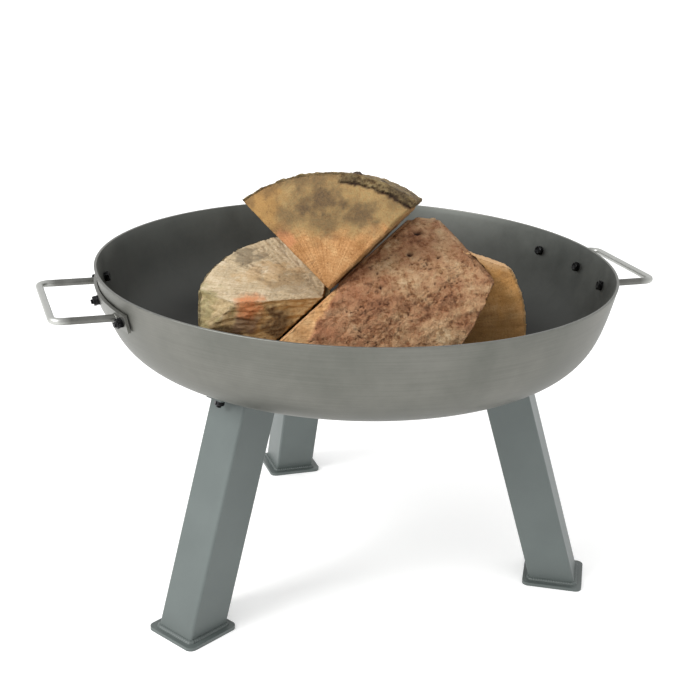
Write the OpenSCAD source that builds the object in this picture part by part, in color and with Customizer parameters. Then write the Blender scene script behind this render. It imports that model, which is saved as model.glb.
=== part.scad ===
// Steel fire bowl on three splayed box-section legs, with two bar handles and
// a small stack of split firewood.  Millimetres.  Origin: floor, under the
// bowl axis.  +X points to the right handle, +Y to the rear leg, +Z up.

/* [Part] */
// Which node to build ("all" builds the whole assembly)

/* [Bowl] */
// Outer radius of the rim
rim_radius = 300; // [280:1:320]
// Height of the rim above the floor
rim_height = 377; // [350:1:400]
// Depth from the rim to the outside of the floor of the dish
bowl_depth = 121; // [100:1:140]
// How far the wall control point leans in from the rim
wall_lean = 23.2; // [10:0.1:40]
// How far the wall control point lies below the rim
wall_drop = 99.9; // [60:0.1:120]
// Radius of the floor control point
floor_reach = 279.2; // [240:0.1:300]
// Sheet thickness of the dish
sheet = 3; // [2:0.5:5]

/* [Handles] */
// Radius of the grip centre line from the bowl axis
grip_radius = 356; // [340:1:380]
// Distance between the two arms, centre to centre
arm_spacing = 138; // [120:1:160]
// Diameter of the handle bar
bar_dia = 8; // [6:0.5:12]
// Centre-line radius of the two bends
bend_radius = 11; // [8:1:20]
// Depth of the handle centre below the rim
handle_drop = 26.5; // [20:0.5:40]
// Height of the curved backing strip
strip_height = 20; // [16:1:30]
// Thickness of the curved backing strip
strip_thick = 3.5; // [2:0.5:6]
// Angle covered by the backing strip around the bowl
strip_angle = 36; // [30:1:45]
// Thickness of the packing washers between strip and dish
packing = 1; // [0.5:0.1:2]
// Angle between neighbouring handle bolts
bolt_angle = 15.9; // [15.6:0.1:16.6]

/* [Legs] */
// Radius of the circle through the foot centres
foot_circle = 258.7; // [240:0.1:270]
// Lean of each leg from vertical
leg_splay = 17.4; // [10:0.1:25]
// Outside width of the square tube
tube_width = 52; // [40:1:60]
// Wall of the square tube
tube_wall = 3; // [2:0.5:5]
// Corner radius of the square tube
tube_corner = 3; // [1:0.5:6]
// Width of the square foot plate
foot_width = 71; // [60:1:80]
// Thickness of the foot plate
foot_thick = 4; // [3:0.5:8]
// Corner radius of the foot plate
foot_corner = 8; // [2:1:15]
// Width of the weld bead around the foot of a tube
weld = 3; // [1:0.5:5]
// Width of a leg-top lug around the leg
lug_width = 22; // [18:1:30]
// Reach of a leg-top lug beyond the tube face
lug_reach = 20; // [16:1:30]
// Thickness of a leg-top lug
lug_thick = 5; // [3:0.5:8]

/* [Fasteners] */
// Shank diameter (M6)
bolt_dia = 6; // [5:1:8]
// Clearance hole diameter
hole_dia = 6.6; // [6.2:0.1:7]
// Across-flats of head and nut
hex_flats = 10; // [8:1:13]
// Height of the bolt head
head_height = 4; // [3:0.5:6]
// Height of the nut
nut_height = 5; // [4:0.5:7]
// Washer outside diameter
washer_dia = 11; // [10:1:12]
// Washer thickness
washer_thick = 1.6; // [1:0.1:2.5]
// Length of thread standing out of the nut
thread_out = 2.5; // [1:0.5:8]
// Gap left under a flat washer on a curved face
seat_gap = 0.15; // [0.1:0.05:0.3]

/* [Firewood] */
// Radius of the tree the pieces were split from
log_radius = 148; // [120:1:160]
// Gap kept between one piece of wood and the next
log_gap = 1; // [0.5:0.1:3]
// Turn of the whole stack about the bowl axis
stack_turn = -19.6; // [-40:0.1:40]
// Top piece: where its pith meets its sawn end
top_at = [-31, -75, 363]; // [-500:1:500]
// Top piece: direction, rise and roll of its pith
top_aim = [-5, 12, 1.5]; // [-90:0.5:90]
// Top piece: angles of its two split faces about the pith
top_split = [46.5, 136.2]; // [-180:0.1:180]
// Top piece: length
top_length = 190; // [120:1:240]
// Front piece: a point on its pith, which lies level
front_at = [-50, 38, 270]; // [-500:1:500]
// Front piece: direction of its pith around the bowl
front_turn = 10; // [-45:0.5:45]
// Front piece: angles of its two split faces about the pith
front_split = [90, 187]; // [-180:0.1:270]
// Front piece: rough length before its ends are cut
front_length = 330; // [200:1:400]
// Left piece: where its pith meets its upper end
left_at = [-36, -32, 341]; // [-500:1:500]
// Left piece: rise of its pith
left_rise = 73; // [0:0.5:90]
// Left piece: angles of its two split faces about the pith
left_split = [88, 190]; // [-180:0.1:270]
// Left piece: length
left_length = 120; // [60:1:200]
// Right piece: where its pith would meet its front end
right_at = [56, -20, 297]; // [-500:1:500]
// Right piece: direction of its pith
right_turn = 3; // [-45:0.5:45]
// Right piece: angles of its two split faces about the pith
right_split = [-35, 75]; // [-180:0.1:180]
// Right piece: length
right_length = 110; // [60:1:200]
// Right piece: distance of its inner split face from the middle
right_from = 121; // [80:1:180]

/* [Hidden] */
$fn = 96;
fine = 360;
steps = 26;
hex_across = hex_flats / cos(30);

// ---- dish profile: one cubic curve from the rim to the middle of the floor
function mix3(a, b, c, d, t) =
  pow(1 - t, 3) * a + 3 * pow(1 - t, 2) * t * b + 3 * (1 - t) * t * t * c + pow(t, 3) * d;
function curve_r(t) = mix3(rim_radius, rim_radius - wall_lean, floor_reach, 0, t);
function curve_z(t) = rim_height - mix3(0, wall_drop, bowl_depth, bowl_depth, t);
function slope_r(t) = 3 * pow(1 - t, 2) * (-wall_lean)
  + 6 * (1 - t) * t * (floor_reach - rim_radius + wall_lean) + 3 * t * t * (-floor_reach);
function slope_z(t) = -(3 * pow(1 - t, 2) * wall_drop + 6 * (1 - t) * t * (bowl_depth - wall_drop));
// lean of the surface from horizontal: 90 on a vertical wall, 0 on the floor
function lean(t) = atan2(-slope_z(t), -slope_r(t));
// the outer surface moved inwards by d
function off_r(t, d) = max(0, curve_r(t) - d * sin(lean(t)));
function off_z(t, d) = curve_z(t) + d * cos(lean(t));
// bisect for the parameter at a given height or radius
function t_at_z(z, a = 0, b = 1, n = 24) = n == 0 ? (a + b) / 2 :
  curve_z((a + b) / 2) > z ? t_at_z(z, (a + b) / 2, b, n - 1) : t_at_z(z, a, (a + b) / 2, n - 1);
function t_at_r(r, a = 0.3, b = 1, n = 24) = n == 0 ? (a + b) / 2 :
  curve_r((a + b) / 2) > r ? t_at_r(r, (a + b) / 2, b, n - 1) : t_at_r(r, a, (a + b) / 2, n - 1);

t_handle = t_at_z(rim_height - handle_drop);
r_handle = curve_r(t_handle);
lean_handle = lean(t_handle);

// solid filled from the axis out to the surface moved in by d, up to height top
module dish_fill(d, top) {
  rotate_extrude($fn = fine)
    polygon(concat(
      [[0, top], [off_r(0, d), top]],
      [for (i = [0:steps]) [off_r(i / steps, d), min(top, off_z(i / steps, d))]]));
}

module bowl() {
  color([0.54, 0.54, 0.52])
  difference() {
    rotate_extrude($fn = fine)
      polygon(concat(
        [for (i = [0:steps]) [curve_r(i / steps), curve_z(i / steps)]],
        [for (i = [steps:-1:1]) [off_r(i / steps, sheet), off_z(i / steps, sheet)]],
        [[rim_radius - sheet, rim_height]]));
    for (side = [0, 180]) each_handle_bolt(side) bore();
    for (leg = legs) each_leg_bolt(leg) bore();
  }
}

module bore() { translate([0, 0, -20]) cylinder(d = hole_dia, h = 40); }

// ---- handles; a bolt frame has +Z along the outward normal of the dish
module each_handle_bolt(side) {
  for (k = [-1:1]) rotate([0, 0, side + k * bolt_angle])
    translate([r_handle, 0, rim_height - handle_drop]) rotate([0, 180 - lean_handle, 0]) children();
}

module handle_strip(side) {
  difference() {
    rotate([0, 0, side - strip_angle / 2]) rotate_extrude(angle = strip_angle, $fn = fine)
      translate([r_handle, rim_height - handle_drop]) rotate(lean_handle - 90)
        translate([packing, -strip_height / 2]) square([strip_thick, strip_height]);
    each_handle_bolt(side) bore();
  }
}

module bar_path() {
  half = arm_spacing / 2;
  start = rim_radius - 50;
  for (s = [-1, 1]) {
    translate([start, s * half, 0]) rotate([0, 90, 0])
      cylinder(d = bar_dia, h = grip_radius - bend_radius - start, $fn = 48);
    translate([grip_radius - bend_radius, s * (half - bend_radius), 0])
      rotate([0, 0, s > 0 ? 0 : -90]) rotate_extrude(angle = 90)
        translate([bend_radius, 0]) circle(d = bar_dia, $fn = 48);
  }
  translate([grip_radius, half - bend_radius, 0]) rotate([90, 0, 0])
    cylinder(d = bar_dia, h = arm_spacing - 2 * bend_radius, $fn = 48);
}

// everything inside the cone of the strip's outer face, used to cope the arms
module inside_strip() {
  tall = 25;
  mid = r_handle + (packing + strip_thick) / sin(lean_handle);
  flare = tall / tan(lean_handle);
  translate([0, 0, rim_height - handle_drop - tall])
    cylinder(r1 = mid - flare, r2 = mid + flare, h = 2 * tall, $fn = fine);
}

module handle_bar(side) {
  difference() {
    rotate([0, 0, side]) translate([0, 0, rim_height - handle_drop]) bar_path();
    inside_strip();
  }
}

module handle_welds(side) {
  seat = sqrt(pow(r_handle + packing + strip_thick, 2) - pow(arm_spacing / 2, 2));
  difference() {
    rotate([0, 0, side]) for (s = [-1, 1])
      translate([seat - 3, s * arm_spacing / 2, rim_height - handle_drop]) rotate([0, 90, 0])
        difference() {
          cylinder(d = bar_dia + weld, h = 5, $fn = 48);
          translate([0, 0, -1]) cylinder(d = bar_dia, h = 7, $fn = 48);
        }
    inside_strip();
  }
}

module handle_packing(side) {
  each_handle_bolt(side) difference() {
    cylinder(d = washer_dia, h = packing - seat_gap / 2, $fn = 48);
    translate([0, 0, -1]) cylinder(d = hole_dia, h = packing + 2, $fn = 48);
  }
}

stack_handle = packing + strip_thick;
module handle_bolts(side) { each_handle_bolt(side) bolt(stack_handle); }
module handle_washers(side) { each_handle_bolt(side) washers(stack_handle); }
module handle_nuts(side) { each_handle_bolt(side) nut(stack_handle); }

// ---- fasteners, built in a bolt frame; deep = thickness outside the dish
head_seat = -(sheet + washer_thick + seat_gap);
module bolt(deep) {
  translate([0, 0, head_seat]) cylinder(d = bolt_dia, h = deep + washer_thick + nut_height
    + thread_out - head_seat, $fn = 48);
  translate([0, 0, head_seat - head_height]) intersection() {
    cylinder(d = hex_across, h = head_height, $fn = 6);
    translate([0, 0, head_height - 12]) cylinder(r1 = 0.5, r2 = 12.5, h = 12, $fn = 48);
  }
}
module nut(deep) {
  translate([0, 0, deep + washer_thick]) difference() {
    cylinder(d = hex_across, h = nut_height, $fn = 6);
    translate([0, 0, -1]) cylinder(d = bolt_dia, h = nut_height + 2, $fn = 48);
  }
}
module washers(deep) {
  translate([0, 0, deep]) ring();
  translate([0, 0, head_seat]) ring();
}
module ring() {
  difference() {
    cylinder(d = washer_dia, h = washer_thick, $fn = 48);
    translate([0, 0, -1]) cylinder(d = hole_dia, h = washer_thick + 2, $fn = 48);
  }
}

// ---- legs: direction of each leg around the bowl
leg_fl = 210;
leg_fr = 330;
leg_rr = 90;
legs = [leg_fl, leg_fr, leg_rr];

// radius at which the tube faces reach the underside of the dish
r_top = foot_circle - (rim_height - bowl_depth - foot_thick) * tan(leg_splay);
half_face = tube_width / 2 / cos(leg_splay);
lug_out_r = r_top + half_face + lug_reach / 2 - 1;
lug_in_r = r_top - half_face - lug_reach / 2 + 1;

module at_dish(r) {
  t = t_at_r(r);
  translate([curve_r(t), 0, curve_z(t)]) rotate([0, 180 - lean(t), 0]) children();
}
// the two bolt frames of a leg: outside its outer face and inside its inner face
module each_leg_bolt(leg) {
  rotate([0, 0, leg]) for (r = [lug_out_r, lug_in_r]) at_dish(r) children();
}
module rounded_bar(w, r, h) {
  translate([r - w / 2, -w / 2, 0]) cube([w - 2 * r, w, h]);
  translate([-w / 2, r - w / 2, 0]) cube([w, w - 2 * r, h]);
  for (x = [-1, 1], y = [-1, 1])
    translate([x * (w / 2 - r), y * (w / 2 - r), 0]) cylinder(r = r, h = h, $fn = 48);
}
module tube_body(grow, top) {
  translate([foot_circle, 0, foot_thick]) rotate([0, -leg_splay, 0])
    translate([0, 0, -40]) rounded_bar(tube_width + 2 * grow, max(0.8, tube_corner + grow), top);
}
module above_foot() { translate([0, 0, foot_thick]) cylinder(r = 500, h = 600); }

module leg_tube(leg) {
  difference() {
    rotate([0, 0, leg]) intersection() {
      tube_body(0, 380);
      above_foot();
    }
    rotate([0, 0, leg]) tube_body(-tube_wall, 400);
    dish_fill(0, rim_height + 50);
  }
}
module leg_lugs(leg) {
  difference() {
    each_leg_bolt(leg) translate([-lug_reach / 2, -lug_width / 2, -2])
      cube([lug_reach, lug_width, lug_thick + 2]);
    rotate([0, 0, leg]) tube_body(0, 400);
    dish_fill(0, rim_height + 50);
    each_leg_bolt(leg) bore();
  }
}
module foot_plate(leg) {
  rotate([0, 0, leg]) translate([foot_circle, 0, 0])
    rounded_bar(foot_width, foot_corner, foot_thick);
}
module foot_weld(leg) {
  rotate([0, 0, leg]) difference() {
    intersection() {
      tube_body(weld, 60);
      translate([0, 0, foot_thick]) cylinder(r = 500, h = weld);
    }
    tube_body(0, 80);
  }
}
module leg_bolts(leg) { each_leg_bolt(leg) bolt(lug_thick); }
module leg_washers(leg) { each_leg_bolt(leg) washers(lug_thick); }
module leg_nuts(leg) { each_leg_bolt(leg) nut(lug_thick); }

// ---- firewood: a piece split from a round of radius r, between two angles;
// its near end lies in the plane z = 0 of a frame turned to face outwards
module split(r, from, to, length, flat = 0) {
  mid = (from + to) / 2;
  half = (to - from) / 2;
  translate([0, 0, -length]) linear_extrude(length)
    polygon(concat([[0, 0]], [for (i = [0:12])
      let (a = from + (to - from) * i / 12, q = r * (1 - flat * cos(90 * (a - mid) / half)))
      [q * cos(a), q * sin(a)]]));
}
module aim(at, azimuth, rise, roll) {
  translate(at) rotate([0, 0, azimuth]) rotate([90 - rise, 0, 0]) rotate([0, 0, roll]) children();
}
// a plane cut: removes everything on the -X side of a turned and tilted plane
module cut_plane(at, azimuth, tilt) {
  far = 300;
  translate(at) rotate([0, 0, azimuth]) rotate([0, tilt, 0])
    translate([-far, -far, -far]) cube([far, 2 * far, 2 * far]);
}
module raw_top(grow) {
  flatter = 0.94;
  aim([top_at[0], top_at[1], top_at[2] - grow * 1.5], top_aim[0], top_aim[1], top_aim[2])
    translate([0, 0, grow])
      split(log_radius * flatter + grow * 3, top_split[0], top_split[1],
        top_length + 2 * grow, 1 - flatter);
}
module raw_front(grow) {
  right_end = 240;
  difference() {
    translate(front_at) rotate([0, 0, front_turn]) rotate([90, 0, 90])
      translate([0, 0, right_end + grow])
        split(log_radius + grow, front_split[0], front_split[1], front_length + 2 * grow);
    // upper and lower saw cuts at the right
    translate([92 + grow, 0, 430 + grow]) rotate([-14, 0, 0]) rotate([0, 47, 0])
      translate([0, -300, 0]) cube([400, 600, 300]);
    cut_plane([152 + grow, -60, 354], 180, -29);
    // slanting cut at the left
    cut_plane([-21 - grow, -71, 365], -16, 43);
  }
}
module raw_left() {
  difference() {
    aim(left_at, 0, left_rise, 0) split(log_radius, left_split[0], left_split[1], left_length);
    // the front left corner is split off
    cut_plane([-138, -47, 336], 64.5, 15.8);
  }
}
module raw_right() {
  intersection() {
    aim(right_at, right_turn, 0, 0)
      split(log_radius, right_split[0], right_split[1], right_length);
    // sloping sawn top
    translate([182, -20, 379]) rotate([-12, 0, 0]) rotate([0, 17, 0])
      translate([-200, -50, -300]) cube([400, 400, 300]);
    translate([right_from, -100, 200]) cube([300, 400, 300]);
  }
}
// turned with the stack, and cut off at a height above the sheet of the dish
module in_dish(above) {
  rotate([0, 0, stack_turn]) intersection() {
    children();
    dish_fill(sheet + above, rim_height + 200);
  }
}
// the wood rests on the heads of the leg bolts
on_heads = washer_thick + seat_gap + head_height + 0.25;
module log_top() { color([0.80, 0.63, 0.42]) in_dish(on_heads) raw_top(0); }
module log_left() {
  color([0.72, 0.68, 0.58]) in_dish(on_heads) difference() {
    raw_left();
    raw_top(log_gap);
    raw_front(log_gap);
  }
}
module log_front() {
  color([0.60, 0.42, 0.32]) in_dish(on_heads) difference() {
    raw_front(0);
    raw_top(log_gap);
  }
}
module log_right() {
  color([0.74, 0.56, 0.34]) in_dish(on_heads) difference() {
    raw_right();
    raw_front(log_gap);
    raw_top(log_gap);
  }
}

module steel() { color([0.43, 0.43, 0.42]) children(); }
module black() { color([0.08, 0.08, 0.08]) children(); }
module paint() { color([0.42, 0.45, 0.44]) children(); }

bowl();
steel() handle_strip(180);  // handle_strip_left
steel() handle_bar(180);  // handle_bar_left
steel() handle_welds(180);  // handle_welds_left
black() handle_packing(180);  // handle_packing_left
black() handle_bolts(180);  // handle_bolts_left
black() handle_washers(180);  // handle_washers_left
black() handle_nuts(180);  // handle_nuts_left
steel() handle_strip(0);  // handle_strip_right
steel() handle_bar(0);  // handle_bar_right
steel() handle_welds(0);  // handle_welds_right
black() handle_packing(0);  // handle_packing_right
black() handle_bolts(0);  // handle_bolts_right
black() handle_washers(0);  // handle_washers_right
black() handle_nuts(0);  // handle_nuts_right
paint() leg_tube(leg_fl);  // leg_tube_front_left
paint() leg_lugs(leg_fl);  // leg_lugs_front_left
paint() foot_plate(leg_fl);  // foot_plate_front_left
paint() foot_weld(leg_fl);  // foot_weld_front_left
black() leg_bolts(leg_fl);  // leg_bolts_front_left
black() leg_washers(leg_fl);  // leg_washers_front_left
black() leg_nuts(leg_fl);  // leg_nuts_front_left
paint() leg_tube(leg_fr);  // leg_tube_front_right
paint() leg_lugs(leg_fr);  // leg_lugs_front_right
paint() foot_plate(leg_fr);  // foot_plate_front_right
paint() foot_weld(leg_fr);  // foot_weld_front_right
black() leg_bolts(leg_fr);  // leg_bolts_front_right
black() leg_washers(leg_fr);  // leg_washers_front_right
black() leg_nuts(leg_fr);  // leg_nuts_front_right
paint() leg_tube(leg_rr);  // leg_tube_rear
paint() leg_lugs(leg_rr);  // leg_lugs_rear
paint() foot_plate(leg_rr);  // foot_plate_rear
paint() foot_weld(leg_rr);  // foot_weld_rear
black() leg_bolts(leg_rr);  // leg_bolts_rear
black() leg_washers(leg_rr);  // leg_washers_rear
black() leg_nuts(leg_rr);  // leg_nuts_rear
log_top();
log_left();
log_front();
log_right();
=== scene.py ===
# %% [markdown]
# # A steel fire pit with firewood
# The CAD frame gives every solid in metres.  It is loaded first.

import math

import bmesh
import bpy
import numpy as np
from mathutils import Matrix, Vector, noise


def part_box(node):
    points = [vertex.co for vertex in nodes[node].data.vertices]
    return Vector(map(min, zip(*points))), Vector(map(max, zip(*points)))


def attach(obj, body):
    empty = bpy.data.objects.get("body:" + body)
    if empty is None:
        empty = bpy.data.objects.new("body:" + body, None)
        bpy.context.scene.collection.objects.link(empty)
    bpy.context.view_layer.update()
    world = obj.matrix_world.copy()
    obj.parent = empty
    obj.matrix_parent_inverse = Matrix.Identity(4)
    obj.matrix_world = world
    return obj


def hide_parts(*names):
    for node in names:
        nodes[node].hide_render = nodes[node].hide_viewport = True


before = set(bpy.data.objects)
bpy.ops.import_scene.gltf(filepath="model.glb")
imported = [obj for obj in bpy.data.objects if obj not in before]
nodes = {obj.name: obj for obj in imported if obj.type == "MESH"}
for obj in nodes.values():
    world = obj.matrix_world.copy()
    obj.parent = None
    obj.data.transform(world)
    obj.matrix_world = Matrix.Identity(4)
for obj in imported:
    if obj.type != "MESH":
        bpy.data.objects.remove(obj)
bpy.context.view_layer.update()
mm = 0.001

# %% [markdown]
# The camera is placed as a photographer would place it: so far from the bowl's axis, so high,
# a little to the left of the front, looking down, with a long lens that keeps the circles calm.

# %% Camera
camera_round = math.radians(19.6)
camera_far = 1.4165
camera_high = 0.7785
look_down = math.radians(19.9)
lean_roll = math.radians(2.1)
heading = -camera_round + math.radians(0.17)
camera_data = bpy.data.cameras.new("camera")
camera_data.lens = 65.0
camera_data.sensor_width = 36.0
camera = bpy.data.objects.new("camera", camera_data)
bpy.context.scene.collection.objects.link(camera)
camera.matrix_world = (
    Matrix.Translation(
        (-camera_far * math.sin(camera_round), -camera_far * math.cos(camera_round), camera_high)
    )
    @ Matrix.Rotation(heading, 4, "Z")
    @ Matrix.Rotation(math.pi / 2 - look_down, 4, "X")
    @ Matrix.Rotation(lean_roll, 4, "Z")
)
bpy.context.scene.camera = camera
print("camera at", [round(v, 3) for v in camera.location])

# %% [markdown]
# Colours are picked as sRGB hex, the way a paint card gives them, and shaders work in linear
# light, so one function turns one into the other.  One more function adds any node: its plain
# settings by name, and its sockets by name or number, where a socket gets a value or a link.

# %% Colour and node helpers
def linear(hex_colour):
    parts = [int(hex_colour[i : i + 2], 16) / 255 for i in (1, 3, 5)]
    return [c / 12.92 if c <= 0.04045 else ((c + 0.055) / 1.055) ** 2.4 for c in parts] + [1.0]


def wire(tree, kind, sockets=None, stops=None, **settings):
    made = tree.nodes.new(kind)
    for name, value in settings.items():
        setattr(made, name, value)
    for key, value in (sockets or {}).items():
        if isinstance(value, bpy.types.NodeSocket):
            tree.links.new(value, made.inputs[key])
        else:
            made.inputs[key].default_value = value
    if stops:
        ramp = made.color_ramp.elements
        while len(ramp) < len(stops):
            ramp.new(0.5)
        for element, (place, colour) in zip(ramp, stops):
            element.position = place
            element.color = linear(colour)
    return made


def finish_named(name, metallic, roughness, ior=1.5):
    material = bpy.data.materials.new(name)
    material.use_nodes = True
    tree = material.node_tree
    shader = tree.nodes["Principled BSDF"]
    shader.inputs["Metallic"].default_value = metallic
    shader.inputs["Roughness"].default_value = roughness
    shader.inputs["IOR"].default_value = ior
    return material, tree, shader


# %% [markdown]
# The dish is pressed from black mild steel and rubbed down outside.  Bare metal has a metallic
# of 1, and its colour is how much it mirrors.  Rubbing leaves fine lines that run round the dish:
# they are drawn 1.5 mm apart, coarser than real, so that they still show.

# %% Rubbed steel, for the outside of the dish
def rubbed_steel():
    material, tree, shader = finish_named("rubbed mild steel", 1.0, 0.47)
    turned = wire(tree, "ShaderNodeAttribute", attribute_name="turned")
    place = wire(tree, "ShaderNodeTexCoord").outputs["Object"]
    line_spacing = 1.5 * mm
    lines_at = wire(tree, "ShaderNodeMapping", {"Vector": turned.outputs["Vector"],
                    "Scale": (2.5, 1 / line_spacing, 1)})
    lines = wire(tree, "ShaderNodeTexNoise", {"Vector": lines_at.outputs[0], "Scale": 1.0,
                 "Detail": 3.0, "Roughness": 0.6})
    clouds = wire(tree, "ShaderNodeTexNoise", {"Vector": place, "Scale": 1 / (90 * mm),
                  "Detail": 5.0, "Roughness": 0.62})
    tone = wire(tree, "ShaderNodeValToRGB", {"Fac": clouds.outputs["Fac"]},
                stops=[(0.3, "#666761"), (0.55, "#75756f"), (0.75, "#82817b")])
    streak = wire(tree, "ShaderNodeValToRGB", {"Fac": lines.outputs["Fac"]},
                  stops=[(0.35, "#f2f2f2"), (0.65, "#ffffff")])
    colour = wire(tree, "ShaderNodeMixRGB", {"Fac": 0.8, "Color1": tone.outputs[0],
                  "Color2": streak.outputs[0]}, blend_type="MULTIPLY")
    tree.links.new(colour.outputs[0], shader.inputs["Base Color"])
    gloss = wire(tree, "ShaderNodeMapRange", {"Value": clouds.outputs["Fac"], "From Min": 0.3,
                 "From Max": 0.7, "To Min": 0.42, "To Max": 0.56})
    tree.links.new(gloss.outputs[0], shader.inputs["Roughness"])
    ridges = wire(tree, "ShaderNodeBump", {"Height": lines.outputs["Fac"], "Strength": 0.05,
                  "Distance": 0.2 * mm})
    tree.links.new(ridges.outputs[0], shader.inputs["Normal"])
    return material


# %% [markdown]
# Inside, the dish keeps its mill scale, a thin dark oxide.  It is a metal still, but mirrors
# far less, and it is a little lighter and greener towards the rim.

# %% Mill scale, for the inside of the dish
def mill_scale():
    material, tree, shader = finish_named("mill scale on mild steel", 1.0, 0.5)
    turned = wire(tree, "ShaderNodeAttribute", attribute_name="turned")
    place = wire(tree, "ShaderNodeTexCoord").outputs["Object"]
    down = wire(tree, "ShaderNodeSeparateXYZ", {0: turned.outputs["Vector"]})
    depth = wire(tree, "ShaderNodeMapRange", {"Value": down.outputs["Y"], "From Min": 0.0,
                 "From Max": 130 * mm, "To Min": 0.0, "To Max": 1.0})
    tone = wire(tree, "ShaderNodeValToRGB", {"Fac": depth.outputs[0]},
                stops=[(0.0, "#737672"), (0.35, "#616360"), (1.0, "#4a4a48")])
    patches = wire(tree, "ShaderNodeTexNoise", {"Vector": place, "Scale": 1 / (60 * mm),
                   "Detail": 6.0, "Roughness": 0.65})
    patch_tone = wire(tree, "ShaderNodeValToRGB", {"Fac": patches.outputs["Fac"]},
                      stops=[(0.3, "#cfcfcf"), (0.7, "#ffffff")])
    colour = wire(tree, "ShaderNodeMixRGB", {"Fac": 0.9, "Color1": tone.outputs[0],
                  "Color2": patch_tone.outputs[0]}, blend_type="MULTIPLY")
    tree.links.new(colour.outputs[0], shader.inputs["Base Color"])
    gloss = wire(tree, "ShaderNodeMapRange", {"Value": patches.outputs["Fac"], "From Min": 0.3,
                 "From Max": 0.7, "To Min": 0.44, "To Max": 0.6})
    tree.links.new(gloss.outputs[0], shader.inputs["Roughness"])
    grit = wire(tree, "ShaderNodeTexNoise", {"Vector": place, "Scale": 1 / (2 * mm), "Detail": 4.0})
    pits = wire(tree, "ShaderNodeBump", {"Height": grit.outputs["Fac"], "Strength": 0.15,
                "Distance": 0.2 * mm})
    tree.links.new(pits.outputs[0], shader.inputs["Normal"])
    return material


# %% [markdown]
# The sheared rim and the handle bars are bare steel too.  The bars are drawn bar stock: fine
# grey, with darker patches where the scale is left.  Past a distance from the middle of the pit
# the colour turns lighter, over 14 mm along the bar: a painted highlight on the grips.

# %% Bare bar steel, for handles, strips and the sheared rim
def bare_steel(name, dark, light, patch_size, grip_highlight_past=None):
    material, tree, shader = finish_named(name, 1.0, 0.42)
    place = wire(tree, "ShaderNodeTexCoord").outputs["Object"]
    patches = wire(tree, "ShaderNodeTexNoise", {"Vector": place, "Scale": 1 / patch_size,
                   "Detail": 6.0, "Roughness": 0.6})
    tone = wire(tree, "ShaderNodeValToRGB", {"Fac": patches.outputs["Fac"]},
                stops=[(0.32, dark), (0.68, light)])
    # Past this distance from the middle the bar is painted lighter: a painted highlight on the grips.
    if grip_highlight_past:
        across = wire(tree, "ShaderNodeSeparateXYZ", {0: place}).outputs["X"]
        out = wire(tree, "ShaderNodeMath", {0: across}, operation="ABSOLUTE").outputs[0]
        grip_highlight = wire(tree, "ShaderNodeMapRange", {"Value": out, "From Min": grip_highlight_past - 14 * mm,
                    "From Max": grip_highlight_past})
        tone = wire(tree, "ShaderNodeMixRGB", {"Fac": grip_highlight.outputs[0],
                    "Color1": tone.outputs[0], "Color2": linear("#b4b5b1")})
    tree.links.new(tone.outputs[0], shader.inputs["Base Color"])
    gloss = wire(tree, "ShaderNodeMapRange", {"Value": patches.outputs["Fac"], "From Min": 0.3,
                 "From Max": 0.7, "To Min": 0.36, "To Max": 0.52})
    tree.links.new(gloss.outputs[0], shader.inputs["Roughness"])
    grit = wire(tree, "ShaderNodeTexNoise", {"Vector": place, "Scale": 1 / (1.2 * mm),
                "Detail": 3.0})
    pits = wire(tree, "ShaderNodeBump", {"Height": grit.outputs["Fac"], "Strength": 0.2,
                "Distance": 0.15 * mm})
    tree.links.new(pits.outputs[0], shader.inputs["Normal"])
    return material


# %% [markdown]
# The legs wear a satin grey-green stove paint.  Paint is not a metal: its gloss comes from an
# IOR of 1.5, and sprayed paint has a faint orange peel with bumps about 3 mm apart.  The colour
# is darker in a band low on the legs.

# %% Satin paint, for the legs
def satin_paint():
    material, tree, shader = finish_named("satin grey-green stove paint", 0.0, 0.42)
    place = wire(tree, "ShaderNodeTexCoord").outputs["Object"]
    clouds = wire(tree, "ShaderNodeTexNoise", {"Vector": place, "Scale": 1 / (120 * mm),
                  "Detail": 5.0, "Roughness": 0.6})
    tone = wire(tree, "ShaderNodeValToRGB", {"Fac": clouds.outputs["Fac"]},
                stops=[(0.3, "#515957"), (0.7, "#5c6462")])
    height = wire(tree, "ShaderNodeSeparateXYZ", {0: place})
    low = wire(tree, "ShaderNodeMapRange", {"Value": height.outputs["Z"], "From Min": 4 * mm,
               "From Max": 40 * mm, "To Min": 0.35, "To Max": 0.0})
    darker_low_band = wire(tree, "ShaderNodeMixRGB", {"Fac": low.outputs[0], "Color1": tone.outputs[0],
                 "Color2": linear("#4c5250")})
    tree.links.new(darker_low_band.outputs[0], shader.inputs["Base Color"])
    gloss = wire(tree, "ShaderNodeMapRange", {"Value": clouds.outputs["Fac"], "From Min": 0.3,
                 "From Max": 0.7, "To Min": 0.36, "To Max": 0.5})
    tree.links.new(gloss.outputs[0], shader.inputs["Roughness"])
    peel = wire(tree, "ShaderNodeTexNoise", {"Vector": place, "Scale": 1 / (3 * mm),
                "Detail": 2.0})
    bumps = wire(tree, "ShaderNodeBump", {"Height": peel.outputs["Fac"], "Strength": 0.15,
                 "Distance": 0.1 * mm})
    tree.links.new(bumps.outputs[0], shader.inputs["Normal"])
    return material


# %% [markdown]
# The fasteners are blackened by a hot oxide bath, then oiled.  The oxide hides the steel, so
# the colour is nearly black, with worn grey spots 2 mm wide.

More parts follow.
